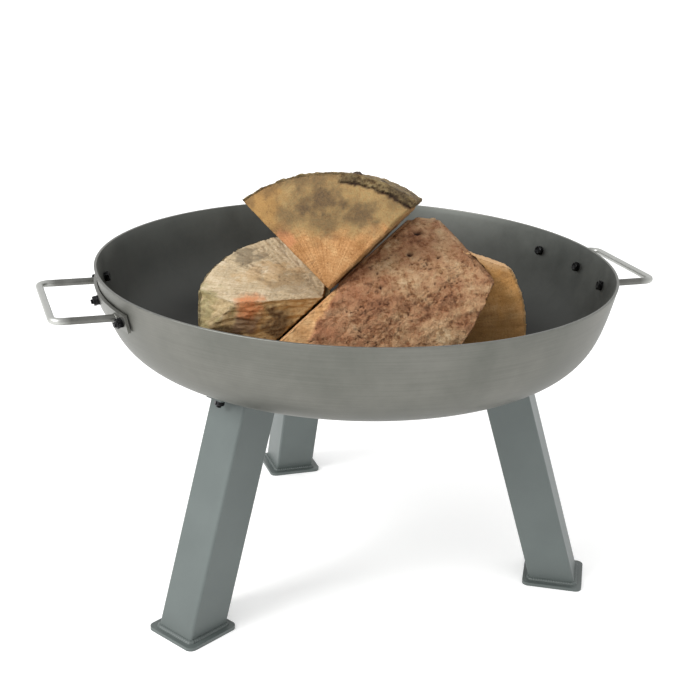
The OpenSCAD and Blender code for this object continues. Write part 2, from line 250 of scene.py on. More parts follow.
# %% Black oxide, for the fasteners
def black_oxide():
    material, tree, shader = finish_named("black oxide on steel", 1.0, 0.4)
    place = wire(tree, "ShaderNodeTexCoord").outputs["Object"]
    wear = wire(tree, "ShaderNodeTexNoise", {"Vector": place, "Scale": 1 / (2 * mm),
                "Detail": 3.0})
    tone = wire(tree, "ShaderNodeValToRGB", {"Fac": wear.outputs["Fac"]},
                stops=[(0.45, "#1c1c1d"), (0.75, "#4a4a4b")])
    tree.links.new(tone.outputs[0], shader.inputs["Base Color"])
    bumps = wire(tree, "ShaderNodeBump", {"Height": wear.outputs["Fac"], "Strength": 0.2,
                 "Distance": 0.1 * mm})
    tree.links.new(bumps.outputs[0], shader.inputs["Normal"])
    return material


steel_outside = rubbed_steel()
steel_inside = mill_scale()
steel_rim = bare_steel("sheared mild steel edge", "#6c6d69", "#80807b", 12 * mm)
steel_bar = bare_steel("drawn mild steel bar", "#5f5f5b", "#757571", 25 * mm, 0.351)
steel_strip = bare_steel("rolled mild steel strip", "#73736e", "#83837e", 40 * mm)
paint = satin_paint()
oxide = black_oxide()
print("metal finishes", len(bpy.data.materials))


# %% [markdown]
# Every mesh made here goes through one function: points and faces in, smooth object out.

# %% Mesh helper
def mesh_piece(name, points, faces, body, smooth=True):
    mesh = bpy.data.meshes.new(name)
    mesh.from_pydata([tuple(p) for p in points], [], faces)
    mesh.validate()
    if smooth:
        mesh.shade_smooth()
    piece = bpy.data.objects.new(name, mesh)
    bpy.context.scene.collection.objects.link(piece)
    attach(piece, body)
    return piece


def grid_faces(rows, columns, closed=True):
    faces = []
    for i in range(rows - 1):
        for j in range(columns if closed else columns - 1):
            k = (j + 1) % columns
            faces.append((i * columns + j, i * columns + k, (i + 1) * columns + k, (i + 1) * columns + j))
    return faces


# %% [markdown]
# The dish is one sheet turned about an axis.  Its section is a cubic curve from the rim to the
# middle of the floor, so the mesh is that curve, its copy one sheet thickness inwards, and a
# small round at each edge of the rim, all swept round.  It is finer than the CAD solid, so the
# light runs over it without steps, and it stands for that solid.

# %% Dish section
rim_r = 300 * mm
rim_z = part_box("bowl")[1].z
dish_depth = 121 * mm
sheet = 3 * mm
wall_lean, wall_drop, floor_reach = 23.2 * mm, 99.9 * mm, 279.2 * mm


def section(t):
    s = 1 - t
    r = s**3 * rim_r + 3 * s * s * t * (rim_r - wall_lean) + 3 * s * t * t * floor_reach
    z = 3 * s * s * t * wall_drop + 3 * s * t * t * dish_depth + t**3 * dish_depth
    return r, rim_z - z


def section_normal(t):
    (r0, z0), (r1, z1) = section(max(0, t - 1e-4)), section(min(1, t + 1e-4))
    run, fall = r0 - r1, z0 - z1
    size = math.hypot(run, fall)
    return fall / size, -run / size


def build_dish():
    steps, around, edge = 72, 240, 0.7 * mm
    outer = [section(t) for t in np.linspace(0, 0.985, steps)]
    inner = []
    for t in np.linspace(0, 0.985, steps):
        r, z = section(t)
        nr, nz = section_normal(t)
        inner.append((r - nr * sheet, z - nz * sheet))
    lip = []
    for k in range(5):
        a = math.pi / 2 * k / 4
        lip.append((rim_r - edge + edge * math.cos(a), rim_z - edge + edge * math.sin(a)))
    for k in range(5):
        a = math.pi / 2 * (1 + k / 4)
        lip.append((rim_r - sheet + edge + edge * math.cos(a), rim_z - edge + edge * math.sin(a)))
    outer = [p for p in outer if p[1] < rim_z - edge]
    inner = [p for p in inner if p[1] < rim_z - edge]
    outline = outer[::-1] + lip + inner
    run = np.cumsum([0] + [math.dist(a, b) for a, b in zip(outline, outline[1:])])
    points, turned = [], []
    middle = len(outer) + 5
    for (r, z), s in zip(outline, run):
        for j in range(around):
            a = 2 * math.pi * j / around
            points.append((r * math.cos(a), r * math.sin(a), z))
            turned.append((a, abs(s - run[middle]), 0))
    faces = grid_faces(len(outline), around)
    rows = len(outline)
    points.append((0, 0, section(1)[1]))
    points.append((0, 0, section(1)[1] + sheet))
    turned += [(0, run[middle], 0)] * 2
    for j in range(around):
        k = (j + 1) % around
        faces.append((rows * around, k, j))
        faces.append((rows * around + 1, (rows - 1) * around + j, (rows - 1) * around + k))
    dish = mesh_piece("dish", points, faces, "pit")
    lines = dish.data.attributes.new("turned", "FLOAT_VECTOR", "POINT")
    lines.data.foreach_set("vector", np.array(turned).ravel())
    for material in (steel_outside, steel_rim, steel_inside):
        dish.data.materials.append(material)
    first_lip, last_lip = len(outer), len(outer) + len(lip)
    for face in dish.data.polygons:
        row = min(face.vertices) // around
        face.material_index = 0 if row < first_lip else (1 if row < last_lip - 1 else 2)
    dish.data.polygons[-1].material_index = 2
    for face in list(dish.data.polygons)[-2 * around :]:
        face.material_index = 0 if rows * around in face.vertices else 2
    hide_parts("bowl")
    print("dish", len(dish.data.polygons), "faces, depth", round(rim_z - section(1)[1], 4))
    return dish


dish = build_dish()

# %% [markdown]
# Split firewood is the hardest piece to make by hand.  Each CAD solid already has the right
# faces, so a copy of it is rebuilt as an even 2.2 mm net, and its points are then moved
# inwards: bark into plates and cracks, split faces into fibres, saw cuts into faint ridges.
# Only the two split faces that look at each other, under the wedge and on the front piece,
# swell outwards, by up to 3 mm, which narrows the gap between them.  Every point also
# remembers where it was in the tree, with the pith as the axis, so rings and rays come out in
# the right places on every face.

# %% Tree frames
stack_turn = math.radians(-19.6)
log_radius = 148 * mm


def tree_frame(at, azimuth, rise, roll):
    turn = Matrix.Rotation(stack_turn, 4, "Z") @ Matrix.Translation(Vector(at) * mm)
    turn @= Matrix.Rotation(math.radians(azimuth), 4, "Z")
    turn @= Matrix.Rotation(math.radians(90 - rise), 4, "X")
    return turn @ Matrix.Rotation(math.radians(roll), 4, "Z")


lying = Matrix.Rotation(math.radians(10), 4, "Z") @ Matrix.Rotation(math.pi / 2, 4, "Z")
frame_front = (
    Matrix.Rotation(stack_turn, 4, "Z") @ Matrix.Translation(Vector((-50, 38, 270)) * mm)
    @ lying @ Matrix.Rotation(math.pi / 2, 4, "X")
)
frame_top = tree_frame((-31, -75, 363), -5, 12, 1.5)
frame_left = tree_frame((-36, -32, 341), 0, 73, 0)
frame_right = tree_frame((56, -20, 297), 3, 0, 0)


# %% Net, noise and patches
def even_net(node, voxel=2.2 * mm):
    copy = bpy.data.objects.new(node + "_net", nodes[node].data.copy())
    bpy.context.scene.collection.objects.link(copy)
    even = copy.modifiers.new("even", "REMESH")
    even.mode = "VOXEL"
    even.voxel_size = voxel
    graph = bpy.context.evaluated_depsgraph_get()
    mesh = bpy.data.meshes.new_from_object(copy.evaluated_get(graph))
    bpy.data.objects.remove(copy)
    count = len(mesh.vertices)
    points, normals = np.empty(count * 3), np.empty(count * 3)
    mesh.vertices.foreach_get("co", points)
    mesh.vertex_normals.foreach_get("vector", normals)
    return mesh, points.reshape(-1, 3), normals.reshape(-1, 3)


def lumps(places, size, seed, octaves=1):
    scaled = places / np.array(size) + seed * 17.3
    if octaves == 1:
        return np.array([noise.noise(p) for p in scaled.tolist()])
    return np.array([noise.fractal(p, 0.8, 2.1, octaves) for p in scaled.tolist()])


def soft_step(low, high, value):
    t = np.clip((value - low) / (high - low), 0, 1)
    return t * t * (3 - 2 * t)


def patch(places, at, size, rough=0.35, seed=5, edge=(0.55, 1.15)):
    away = np.linalg.norm((places - np.array(at) * mm) / (np.array(size) * mm), axis=1)
    return 1 - soft_step(*edge, away + rough * lumps(places, (14 * mm,) * 3, seed, 4))


def cracks(places, size, seed, width=0.10, share=0.0):
    line = 1 - np.clip(np.abs(lumps(places, size, seed, 3)) / width, 0, 1)
    where = soft_step(share, share + 0.25, lumps(places, [3 * s for s in size], seed + 3))
    return line * where


most_swell, most_sunk, clear_of_cad = 3 * mm, 7 * mm, 0.3 * mm


def finish_log(name, mesh, points, normals, sink, masks, tree, material, body):
    inward = np.clip(sink, -most_swell, most_sunk)[:, None]
    mesh.vertices.foreach_set("co", (points - normals * (inward + clear_of_cad)).ravel())
    mesh.name = name
    for label, values in masks.items():
        mask = mesh.attributes.new(label, "FLOAT", "POINT")
        mask.data.foreach_set("value", np.clip(values, 0, 1))
    grain = mesh.attributes.new("grain", "FLOAT_VECTOR", "POINT")
    grain.data.foreach_set("vector", tree.ravel())
    mesh.shade_smooth()
    mesh.materials.clear()
    mesh.materials.append(material)
    piece = bpy.data.objects.new(name, mesh)
    bpy.context.scene.collection.objects.link(piece)
    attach(piece, body)
    node = "log_" + name.rsplit("_", 1)[1]
    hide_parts(node)
    print(name, len(points), "points, deepest", round(float(inward.max()) * 1000, 1), "mm")
    return piece


def cut_normal(azimuth, tilt):
    turn, lean = math.radians(azimuth), math.radians(tilt)
    return np.array((math.cos(turn) * math.cos(lean), math.sin(turn) * math.cos(lean),
                     -math.sin(lean)))


def in_tree(points, frame_of_tree):
    back = np.array(frame_of_tree.inverted())
    return points @ back[:3, :3].T + back[:3, 3]


# %% [markdown]
# The wood finish is one recipe with different stains.  Growth rings are bands of the distance
# from the pith, 3.6 mm apart.  Rays are streaks that change with the angle about the pith, and
# fibres are streaks 1.5 mm wide and fifteen times as long that run with the trunk.  Bark, mould,
# a knot and painted shade in the cracks and holes come from the masks that the points carry.
# Wood isn't shiny, so the roughness is high, and the IOR of 1.45 gives it only a faint sheen.

# %% Wood finish
def wood(name, tones, stains, bark_tones, rough=0.78, ring_gap=3.6, ring_share=0.4,
         fibre=(1.5, 1.5, 22), fibre_share=0.6, hollow_shade_tone="#5a3a2a", speck_share=0.45):
    material, tree, shader = finish_named(name, 0.0, rough, 1.45)
    grain = wire(tree, "ShaderNodeAttribute", attribute_name="grain").outputs["Vector"]
    wander = wire(tree, "ShaderNodeTexNoise", {"Vector": grain, "Scale": 1 / (60 * mm),
                  "Detail": 2.0})
    shift = wire(tree, "ShaderNodeVectorMath", {0: wander.outputs["Color"],
                 1: (7 * mm, 7 * mm, 7 * mm)}, operation="MULTIPLY")
    bent = wire(tree, "ShaderNodeVectorMath", {0: grain, 1: shift.outputs[0]}, operation="ADD")
    flat = wire(tree, "ShaderNodeVectorMath", {0: bent.outputs[0], 1: (1, 1, 0)},
                operation="MULTIPLY")
    rings = wire(tree, "ShaderNodeTexWave", {"Vector": flat.outputs[0],
                 "Scale": 0.314 / (ring_gap * mm), "Distortion": 0.0}, wave_type="RINGS",
                 rings_direction="SPHERICAL")
    blotch = wire(tree, "ShaderNodeTexNoise", {"Vector": grain, "Scale": 1 / (30 * mm),
                  "Detail": 9.0, "Roughness": 0.72})
    base = wire(tree, "ShaderNodeValToRGB", {"Fac": blotch.outputs["Fac"]},
                stops=[(0.33, tones[0]), (0.5, tones[1]), (0.67, tones[2])])
    fine = wire(tree, "ShaderNodeTexNoise", {"Vector": grain, "Scale": 1 / (3.4 * mm),
                "Detail": 4.0, "Roughness": 0.7})
    faint = wire(tree, "ShaderNodeMapRange", {"Value": blotch.outputs["Fac"], "From Min": 0.35,
                 "From Max": 0.65, "To Min": 0.0, "To Max": ring_share})
    ring_cut = wire(tree, "ShaderNodeMapRange", {"Value": rings.outputs["Fac"], "From Min": 0.3,
                    "From Max": 0.95})
    ring_amount = wire(tree, "ShaderNodeMath", {0: ring_cut.outputs[0], 1: faint.outputs[0]},
                       operation="MULTIPLY")
    ringed = wire(tree, "ShaderNodeMixRGB", {"Fac": ring_amount.outputs[0],
                  "Color1": base.outputs[0], "Color2": linear("#a98558")},
                  blend_type="MULTIPLY")
    stretch = wire(tree, "ShaderNodeMapping", {"Vector": grain,
                   "Scale": tuple(1 / (f * mm) for f in fibre)})
    fibres = wire(tree, "ShaderNodeTexNoise", {"Vector": stretch.outputs[0], "Scale": 1.0,
                  "Detail": 4.0, "Roughness": 0.62})
    thread = wire(tree, "ShaderNodeValToRGB", {"Fac": fibres.outputs["Fac"]},
                  stops=[(0.3, "#a58a6a"), (0.48, "#e2d6c4"), (0.7, "#ffffff")])
    threaded = wire(tree, "ShaderNodeMixRGB", {"Fac": fibre_share, "Color1": ringed.outputs[0],
                    "Color2": thread.outputs[0]}, blend_type="MULTIPLY")
    around = wire(tree, "ShaderNodeVectorMath", {0: grain}, operation="NORMALIZE")
    rays = wire(tree, "ShaderNodeTexNoise", {"Vector": around.outputs[0], "Scale": 30.0,
                "Detail": 4.0, "Roughness": 0.65})
    ray_tone = wire(tree, "ShaderNodeValToRGB", {"Fac": rays.outputs["Fac"]},
                    stops=[(0.32, "#c7b59c"), (0.58, "#ffffff")])
    now = wire(tree, "ShaderNodeMixRGB", {"Fac": 0.6, "Color1": threaded.outputs[0],
               "Color2": ray_tone.outputs[0]}, blend_type="MULTIPLY")
    for label, tone, share in stains:
        mask = wire(tree, "ShaderNodeAttribute", attribute_name=label)
        broken = wire(tree, "ShaderNodeMapRange", {"Value": fine.outputs["Fac"],
                      "From Min": 0.32, "From Max": 0.62, "To Min": 0.75 * share,
                      "To Max": min(1.0, 1.15 * share)})
        amount = wire(tree, "ShaderNodeMath", {0: mask.outputs["Fac"], 1: broken.outputs[0]},
                      operation="MULTIPLY")
        tone_noise = wire(tree, "ShaderNodeMixRGB", {"Fac": 0.35, "Color1": linear(tone),
                          "Color2": thread.outputs[0]}, blend_type="MULTIPLY")
        now = wire(tree, "ShaderNodeMixRGB", {"Fac": amount.outputs[0],
                   "Color1": now.outputs[0], "Color2": tone_noise.outputs[0]})
    bark = wire(tree, "ShaderNodeAttribute", attribute_name="bark")
    bark_noise = wire(tree, "ShaderNodeTexNoise", {"Vector": grain, "Scale": 1 / (32 * mm),
                      "Detail": 10.0, "Roughness": 0.74})
    bark_tone = wire(tree, "ShaderNodeValToRGB", {"Fac": bark_noise.outputs["Fac"]},
                     stops=[(0.33, bark_tones[0]), (0.45, bark_tones[1]), (0.56, bark_tones[2]),
                            (0.68, bark_tones[3])])
    blush = wire(tree, "ShaderNodeAttribute", attribute_name="blush")
    blushed = wire(tree, "ShaderNodeMixRGB", {"Fac": blush.outputs["Fac"],
                   "Color1": bark_tone.outputs[0], "Color2": linear("#c47f5a")})
    # The low spots of the bark relief are darker: partly the bark's own fissures, partly painted shade in
    # the crevices.
    relief = wire(tree, "ShaderNodeTexNoise", {"Vector": grain, "Scale": 1 / (9 * mm),
                  "Detail": 8.0, "Roughness": 0.7})
    crevice_shade_tone = wire(tree, "ShaderNodeValToRGB", {"Fac": relief.outputs["Fac"]},
                       stops=[(0.34, "#7d5f48"), (0.42, "#cdb69e"), (0.5, "#ffffff")])
    weathered = wire(tree, "ShaderNodeMixRGB", {"Fac": 0.75, "Color1": blushed.outputs[0],
                     "Color2": crevice_shade_tone.outputs[0]}, blend_type="MULTIPLY")
    barked = wire(tree, "ShaderNodeMixRGB", {"Fac": bark.outputs["Fac"],
                  "Color1": now.outputs[0], "Color2": weathered.outputs[0]})
    # This mask darkens cracks, holes and grooves: painted shade.
    hollow_shade = wire(tree, "ShaderNodeAttribute", attribute_name="hollow_shade")
    dark = wire(tree, "ShaderNodeMixRGB", {"Fac": hollow_shade.outputs["Fac"],
                "Color1": barked.outputs[0], "Color2": linear(hollow_shade_tone)},
                blend_type="MULTIPLY")
    speck = wire(tree, "ShaderNodeValToRGB", {"Fac": fine.outputs["Fac"]},
                 stops=[(0.32, "#6b543f"), (0.43, "#efe6d8"), (0.6, "#ffffff")])
    done = wire(tree, "ShaderNodeMixRGB", {"Fac": speck_share, "Color1": dark.outputs[0],
                "Color2": speck.outputs[0]}, blend_type="MULTIPLY")
    tree.links.new(done.outputs[0], shader.inputs["Base Color"])
    height = wire(tree, "ShaderNodeMath", {0: fibres.outputs["Fac"], 1: 0.6,
                  2: fine.outputs["Fac"]}, operation="MULTIPLY_ADD")
    fuzz = wire(tree, "ShaderNodeBump", {"Height": height.outputs[0], "Strength": 0.7,
                "Distance": 1.1 * mm})
    plates = wire(tree, "ShaderNodeMath", {0: relief.outputs["Fac"], 1: bark.outputs["Fac"]},
                  operation="MULTIPLY")
    bump = wire(tree, "ShaderNodeBump", {"Height": plates.outputs[0], "Strength": 0.9,
                "Distance": 13.0 * mm, "Normal": fuzz.outputs[0]})
    tree.links.new(bump.outputs[0], shader.inputs["Normal"])
    return material


# %% [markdown]
# The top piece is a wedge that lies with its sawn end to the front.  The wood near the pith is
# clean and orange, the rest has gone olive and brown with mould, and a strip of old bark is
# left along the right of the round, with a stub of a twig on it.

# %% Top piece
def top_piece():
    mesh, points, normals = even_net("log_top")
    tree = in_tree(points, frame_top)
    radius = np.hypot(tree[:, 0], tree[:, 1])
    angle = np.degrees(np.arctan2(tree[:, 1], tree[:, 0]))
    end = soft_step(-3.5 * mm, -1.5 * mm, tree[:, 2])
    edge = 0.1391 * (1 - 0.06 * np.cos(np.radians(90) * (angle - 91.35) / 44.85))
    below = edge - radius
    skin = soft_step(4.0 * mm, 1.5 * mm, below)
    ragged = 2.5 * mm * lumps(tree, (7 * mm,) * 3, 14, 3)
    strip = soft_step(13 * mm, 10 * mm, below + ragged) * soft_step(87, 84, angle)
    groove = np.exp(-(((below + ragged - 12 * mm) / (1.5 * mm)) ** 2)) * soft_step(87, 84, angle)
    second = np.exp(-(((below + ragged - 5.5 * mm) / (1.0 * mm)) ** 2)) * soft_step(80, 76, angle)
    rays = cracks(np.column_stack([angle / 900, radius * 0.06, radius * 0]), (6 * mm,) * 3, 2)
    rough_side = lumps(tree, (5 * mm, 5 * mm, 60 * mm), 4, 4) * (1 - end)
    plates = lumps(tree, (9 * mm, 9 * mm, 20 * mm), 6, 4)
    low_side = soft_step(60, 50, angle) * (1 - end) * (1 - skin)
    sink = (
        0.5 * mm + 0.5 * mm * lumps(tree, (16 * mm,) * 3, 1, 4) * end
        + 0.9 * mm * rough_side * (1 - skin) - 2.2 * mm * low_side
        + (0.9 + 1.8 * plates) * mm * skin * (1 - strip)
        + (0.6 + 1.6 * plates) * mm * strip
        + 2.6 * mm * groove + 1.2 * mm * second * strip
        + 1.2 * mm * rays * end * soft_step(110 * mm, 50 * mm, radius)
    )
    rise = tree[:, 1] + 16 * mm * lumps(tree, (24 * mm,) * 3, 9, 4)
    grey = soft_step(52 * mm, 78 * mm, rise)
    def stain(x, y, wide, high, seed):
        return patch(tree, (x, y, 0), (wide, high, 40), 0.75, seed, (0.15, 1.45))

    mould = np.maximum.reduce([
        stain(-9, 103, 27, 24, 5) * 0.95, stain(33, 84, 20, 17, 6) * 0.85,
        stain(-47, 80, 20, 18, 7) * 0.6, stain(-10, 74, 27, 15, 8) * 0.6,
        stain(-36, 121, 36, 10, 12) * 0.7, stain(70, 98, 14, 12, 13) * 0.5,
        soft_step(16 * mm, 4 * mm, below + 9 * mm * lumps(tree, (11 * mm,) * 3, 18, 4)) * 0.6,
    ])
    ochre = patch(tree, (-80, 92, 0), (26, 34, 60), 0.5, 11)
    rosy = patch(tree, (-48, 52, 0), (14, 12, 40), 0.7, 15)
    masks = {
        "grey": grey * end + 0.4 * (1 - end), "mould": mould * end, "ochre": ochre * end,
        "rosy": rosy * end, "bark": np.maximum(skin, strip), "blush": np.zeros(len(points)),
        # Painted shade in the groove by the bark strip and in the cracks of the end.
        "hollow_shade": np.clip(groove + 0.8 * second * strip, 0, 1) + 0.5 * rays * end,
    }
    material = wood("seasoned softwood with mould", ("#b07c44", "#dcaa74", "#f2cd98"),
                    [("grey", "#a08a5c", 0.85), ("ochre", "#b58a4e", 0.6),
                     ("rosy", "#d08c62", 0.6), ("mould", "#4e3c2b", 0.85)],
                    ("#4e4030", "#86734f", "#a99468", "#c9b88c"), ring_share=0.22)
    return finish_log("wood_piece_top", mesh, points, normals, sink, masks, tree, material,
                      "top_log")


top_piece()

# %% [markdown]
# A stub of a twig stands on the bark of the top piece.  It is a short turned profile, wider one
# way than the other, with each point nudged by noise, in a dark dry wood of its own.

# %% Twig stub
def twig_stub():
    place = frame_top @ Vector((0.0285, 0.1288, -0.006))
    turn = frame_top.to_3x3() @ Matrix.Rotation(math.radians(-60), 3, "X")
    points, turns = [], 20
    profile = [(0.1, 4.2), (2.6, 4.2), (3.6, 3.4), (4.2, 1.8), (4.8, -3.0)]
    for r, h in profile:
        for j in range(turns):
            a = 2 * math.pi * j / turns
            d = Vector((1.25 * r * math.cos(a), r * math.sin(a), h)) * mm
            d *= 1 + 0.12 * noise.noise(d * 400)
            points.append(place + turn @ (d - Vector((0, 0, 3 * mm))))
    stub = mesh_piece("twig_stub", points, grid_faces(len(profile), turns), "top_log")
    stub.data.materials.append(twig_wood)
    return stub


def dry_twig():
    material, tree, shader = finish_named("dry twig wood", 0.0, 0.85, 1.45)
    place = wire(tree, "ShaderNodeTexCoord").outputs["Object"]
    spots = wire(tree, "ShaderNodeTexNoise", {"Vector": place, "Scale": 1 / (1.5 * mm),
                 "Detail": 4.0})
    tone = wire(tree, "ShaderNodeValToRGB", {"Fac": spots.outputs["Fac"]},
                stops=[(0.35, "#221b16"), (0.7, "#5a483b")])
    tree.links.new(tone.outputs[0], shader.inputs["Base Color"])
    bump = wire(tree, "ShaderNodeBump", {"Height": spots.outputs["Fac"], "Strength": 0.6,
                "Distance": 0.6 * mm})
    tree.links.new(bump.outputs[0], shader.inputs["Normal"])
    return material


twig_wood = dry_twig()
twig_stub()

# %% [markdown]
# The front piece shows its bark: red-brown plates, short cracks across them, and a few deep
# round holes left by beetles and twigs.  Along its left end the bark has broken away and shows
# the pale wood.

# %% Front piece
bark_holes = [((69.7, 15.1, 410.4), 6.5), ((60.2, -22.7, 394.0), 5.0), ((93.5, -21.0, 391.3), 2.6),
              ((39.4, 0.1, 407.2), 3.2), ((3.6, -44.1, 386.1), 3.0), ((28.0, -62.6, 364.5), 3.0)]


def front_piece():
    mesh, points, normals = even_net("log_front")
    tree = in_tree(points, frame_front)
    stack = points @ np.array(Matrix.Rotation(stack_turn, 3, "Z"))
    radius = np.hypot(tree[:, 0], tree[:, 1])
    outer = soft_step(7 * mm, 3.5 * mm, log_radius - radius)
    from_cut = (stack - np.array((-21, -71, 365)) * mm) @ cut_normal(-16, 43)
    low_edge = np.interp(stack[:, 2], (300 * mm, 320 * mm, 342 * mm, 361 * mm, 369 * mm),
                         (30 * mm, 20 * mm, 10 * mm, 3 * mm, -9 * mm))
    ragged = 3 * mm * lumps(tree, (9 * mm,) * 3, 15, 4)
    bare = soft_step(2.5 * mm, -1.5 * mm, from_cut - low_edge + ragged) * outer
    skin = outer * (1 - bare)
    lie = tree @ np.array(Matrix.Rotation(math.radians(25), 3, "Y"))
    broad = lumps(tree, (36 * mm,) * 3, 1, 4)
    plates = lumps(lie, (12 * mm, 12 * mm, 17 * mm), 2, 5)
    grit = lumps(tree, (5 * mm,) * 3, 21, 3)
    lines = np.maximum(cracks(lie, (11 * mm, 11 * mm, 26 * mm), 3, 0.06, 0.12),
                       cracks(lie, (9 * mm, 15 * mm, 11 * mm), 8, 0.06, 0.2))
    holes = np.zeros(len(points))
    for at, size in bark_holes:
        away = np.linalg.norm(stack - np.array(at) * mm, axis=1)
        away = away * (1 + 0.35 * grit)
        holes = np.maximum(holes, 1 - soft_step(0.4 * size * mm, 1.1 * size * mm, away))
    side = lumps(tree, (4 * mm, 4 * mm, 50 * mm), 5, 4) * (1 - skin)
    shade = (1 - outer) * soft_step(360 * mm, 370 * mm, stack[:, 2])
    sink = (
        (1.5 + 1.3 * broad + 1.9 * plates + 0.6 * grit) * mm * skin + 2.6 * mm * lines * skin
        + 4.0 * mm * holes + (0.3 + 0.6 * side) * mm * (1 - outer) + 2.4 * mm * bare
        + 0.8 * mm * side * bare - 3.2 * mm * shade
    )
    left = soft_step(60 * mm, -40 * mm, stack[:, 0] + 20 * mm * broad)
    patches = soft_step(-0.05, 0.45, lumps(tree, (30 * mm,) * 3, 12, 4))
    grey_low = soft_step(330 * mm, 300 * mm, stack[:, 2]) * soft_step(0, 60 * mm, stack[:, 0])
    # The strip that faces the wedge takes the bark colour and the darkening of the hollow mask: painted
    # shade.
    masks = {"bark": np.maximum(skin, shade),
             # Painted shade in the bark cracks, in the holes and on the strip that faces the wedge.
             "hollow_shade": np.maximum.reduce([lines * skin * 0.85, holes, shade * 0.5]),
             "blush": np.clip(0.15 + 0.35 * left - 0.3 * patches * (1 - left) - grey_low, 0, 0.5)}
    material = wood("pine bark over pale softwood", ("#d19c64", "#e6b985", "#f2cf9f"), [],
                    ("#805a3e", "#bd8c66", "#d6ae84", "#efd4ab"), rough=0.85,
                    hollow_shade_tone="#4a2a1c")
    return finish_log("wood_piece_front", mesh, points, normals, sink, masks, tree, material,
                      "log_stack")


front_piece()

# %% [markdown]
# The left piece stands nearly upright, so its weathered grey end looks up, and its front left
# corner has split off.  Its split side has an orange knot with painted shade under it, and more
# painted shade to the right, where it meets the front piece, and low at the left.

# %% Left piece
def left_piece():
    mesh, points, normals = even_net("log_left")
    tree = in_tree(points, frame_left)
    stack = points @ np.array(Matrix.Rotation(stack_turn, 3, "Z"))
    radius = np.hypot(tree[:, 0], tree[:, 1])
    angle = np.degrees(np.arctan2(tree[:, 1], tree[:, 0]))
    end = soft_step(-3.5 * mm, -1.2 * mm, tree[:, 2])
    skin = soft_step(5 * mm, 2.5 * mm, log_radius - radius)
    from_corner = (stack - np.array((-138, -47, 336)) * mm) @ cut_normal(64.5, 15.8)
    chip = soft_step(4 * mm, 1.5 * mm, np.abs(from_corner))
    chip *= (1 - end) * (1 - skin)
    rays = cracks(np.column_stack([angle / 700, radius * 0.05, radius * 0]), (6 * mm,) * 3, 3,
                  0.12, -0.1)
    face = lumps(tree, (50 * mm, 3.5 * mm, 3.5 * mm), 4, 4)
    soft = lumps(tree, (24 * mm,) * 3, 1, 5)
    knot = patch(tree, (-86, -10, -5), (20, 15, 18), 0.45, 3, (0.4, 1.2))
    below = patch(tree, (-88, -16, -31), (19, 14, 18), 0.5, 4)
    split_face = (1 - end) * (1 - skin)
    sink = (
        (1.2 + 1.2 * soft) * mm * end
        + (2.2 + 1.8 * face - 2.2 * knot - 1.4 * below) * mm * split_face
        + (1.8 + 1.5 * lumps(tree, (9 * mm, 9 * mm, 30 * mm), 6, 4)) * mm * skin
        + 1.6 * mm * rays * end
    )
    greenish = patch(stack, (-176, -30, 315), (26, 40, 34), 0.8, 8)
    # The dark patches on the split face, right of the knot by the front piece and low at the left, and
    # the greyish patch under the knot are painted shade.
    masks = {
        "pale": np.clip(end + 0.4 * chip, 0, 1),
        "mould": np.maximum(patch(tree, (-98, 78, 0), (20, 18, 30), 1.0, 5) * 0.9,
                            patch(tree, (-34, 30, 0), (40, 26, 30), 1.0, 9) * 0.45) * end,
        "tan": patch(tree, (-60, 46, 0), (46, 22, 30), 1.0, 16) * end * 0.7,
        "olive": split_face * (1 - 0.4 * chip), "green": greenish,
        "split_face_shade": split_face * np.maximum(patch(tree, (-52, -10, -40), (20, 40, 26), 0.7),
                                        patch(tree, (-112, -12, -44), (26, 30, 14), 0.8, 19)),
        "knot": knot, "under_knot_shade": below, "bark": skin * (1 - 0.6 * end), "blush": np.zeros(len(points)),
        # Painted shade in the cracks of the end.
        "hollow_shade": rays * end * 0.5,
    }
    material = wood("weathered softwood", ("#a8987a", "#d6c7a8", "#f0e6d0"),
                    [("pale", "#d6cab0", 0.3), ("tan", "#c39d66", 0.55),
                     ("olive", "#c9ae78", 0.7), ("green", "#8f8a58", 0.55),
                     ("mould", "#6f6552", 0.75), ("split_face_shade", "#4a3722", 0.85),
                     ("under_knot_shade", "#8a7260", 0.8), ("knot", "#d88f60", 0.9)],
                    ("#6f6040", "#978658", "#b0a076", "#cabd98"), fibre=(22, 1.5, 1.5),
                    fibre_share=0.45, ring_share=0.15)
    return finish_log("wood_piece_left", mesh, points, normals, sink, masks, tree, material,
                      "log_stack")


left_piece()

# %% [markdown]
# The right piece is clean: a smooth tan end with a painted highlight along its sawn top and a darker
# foot.

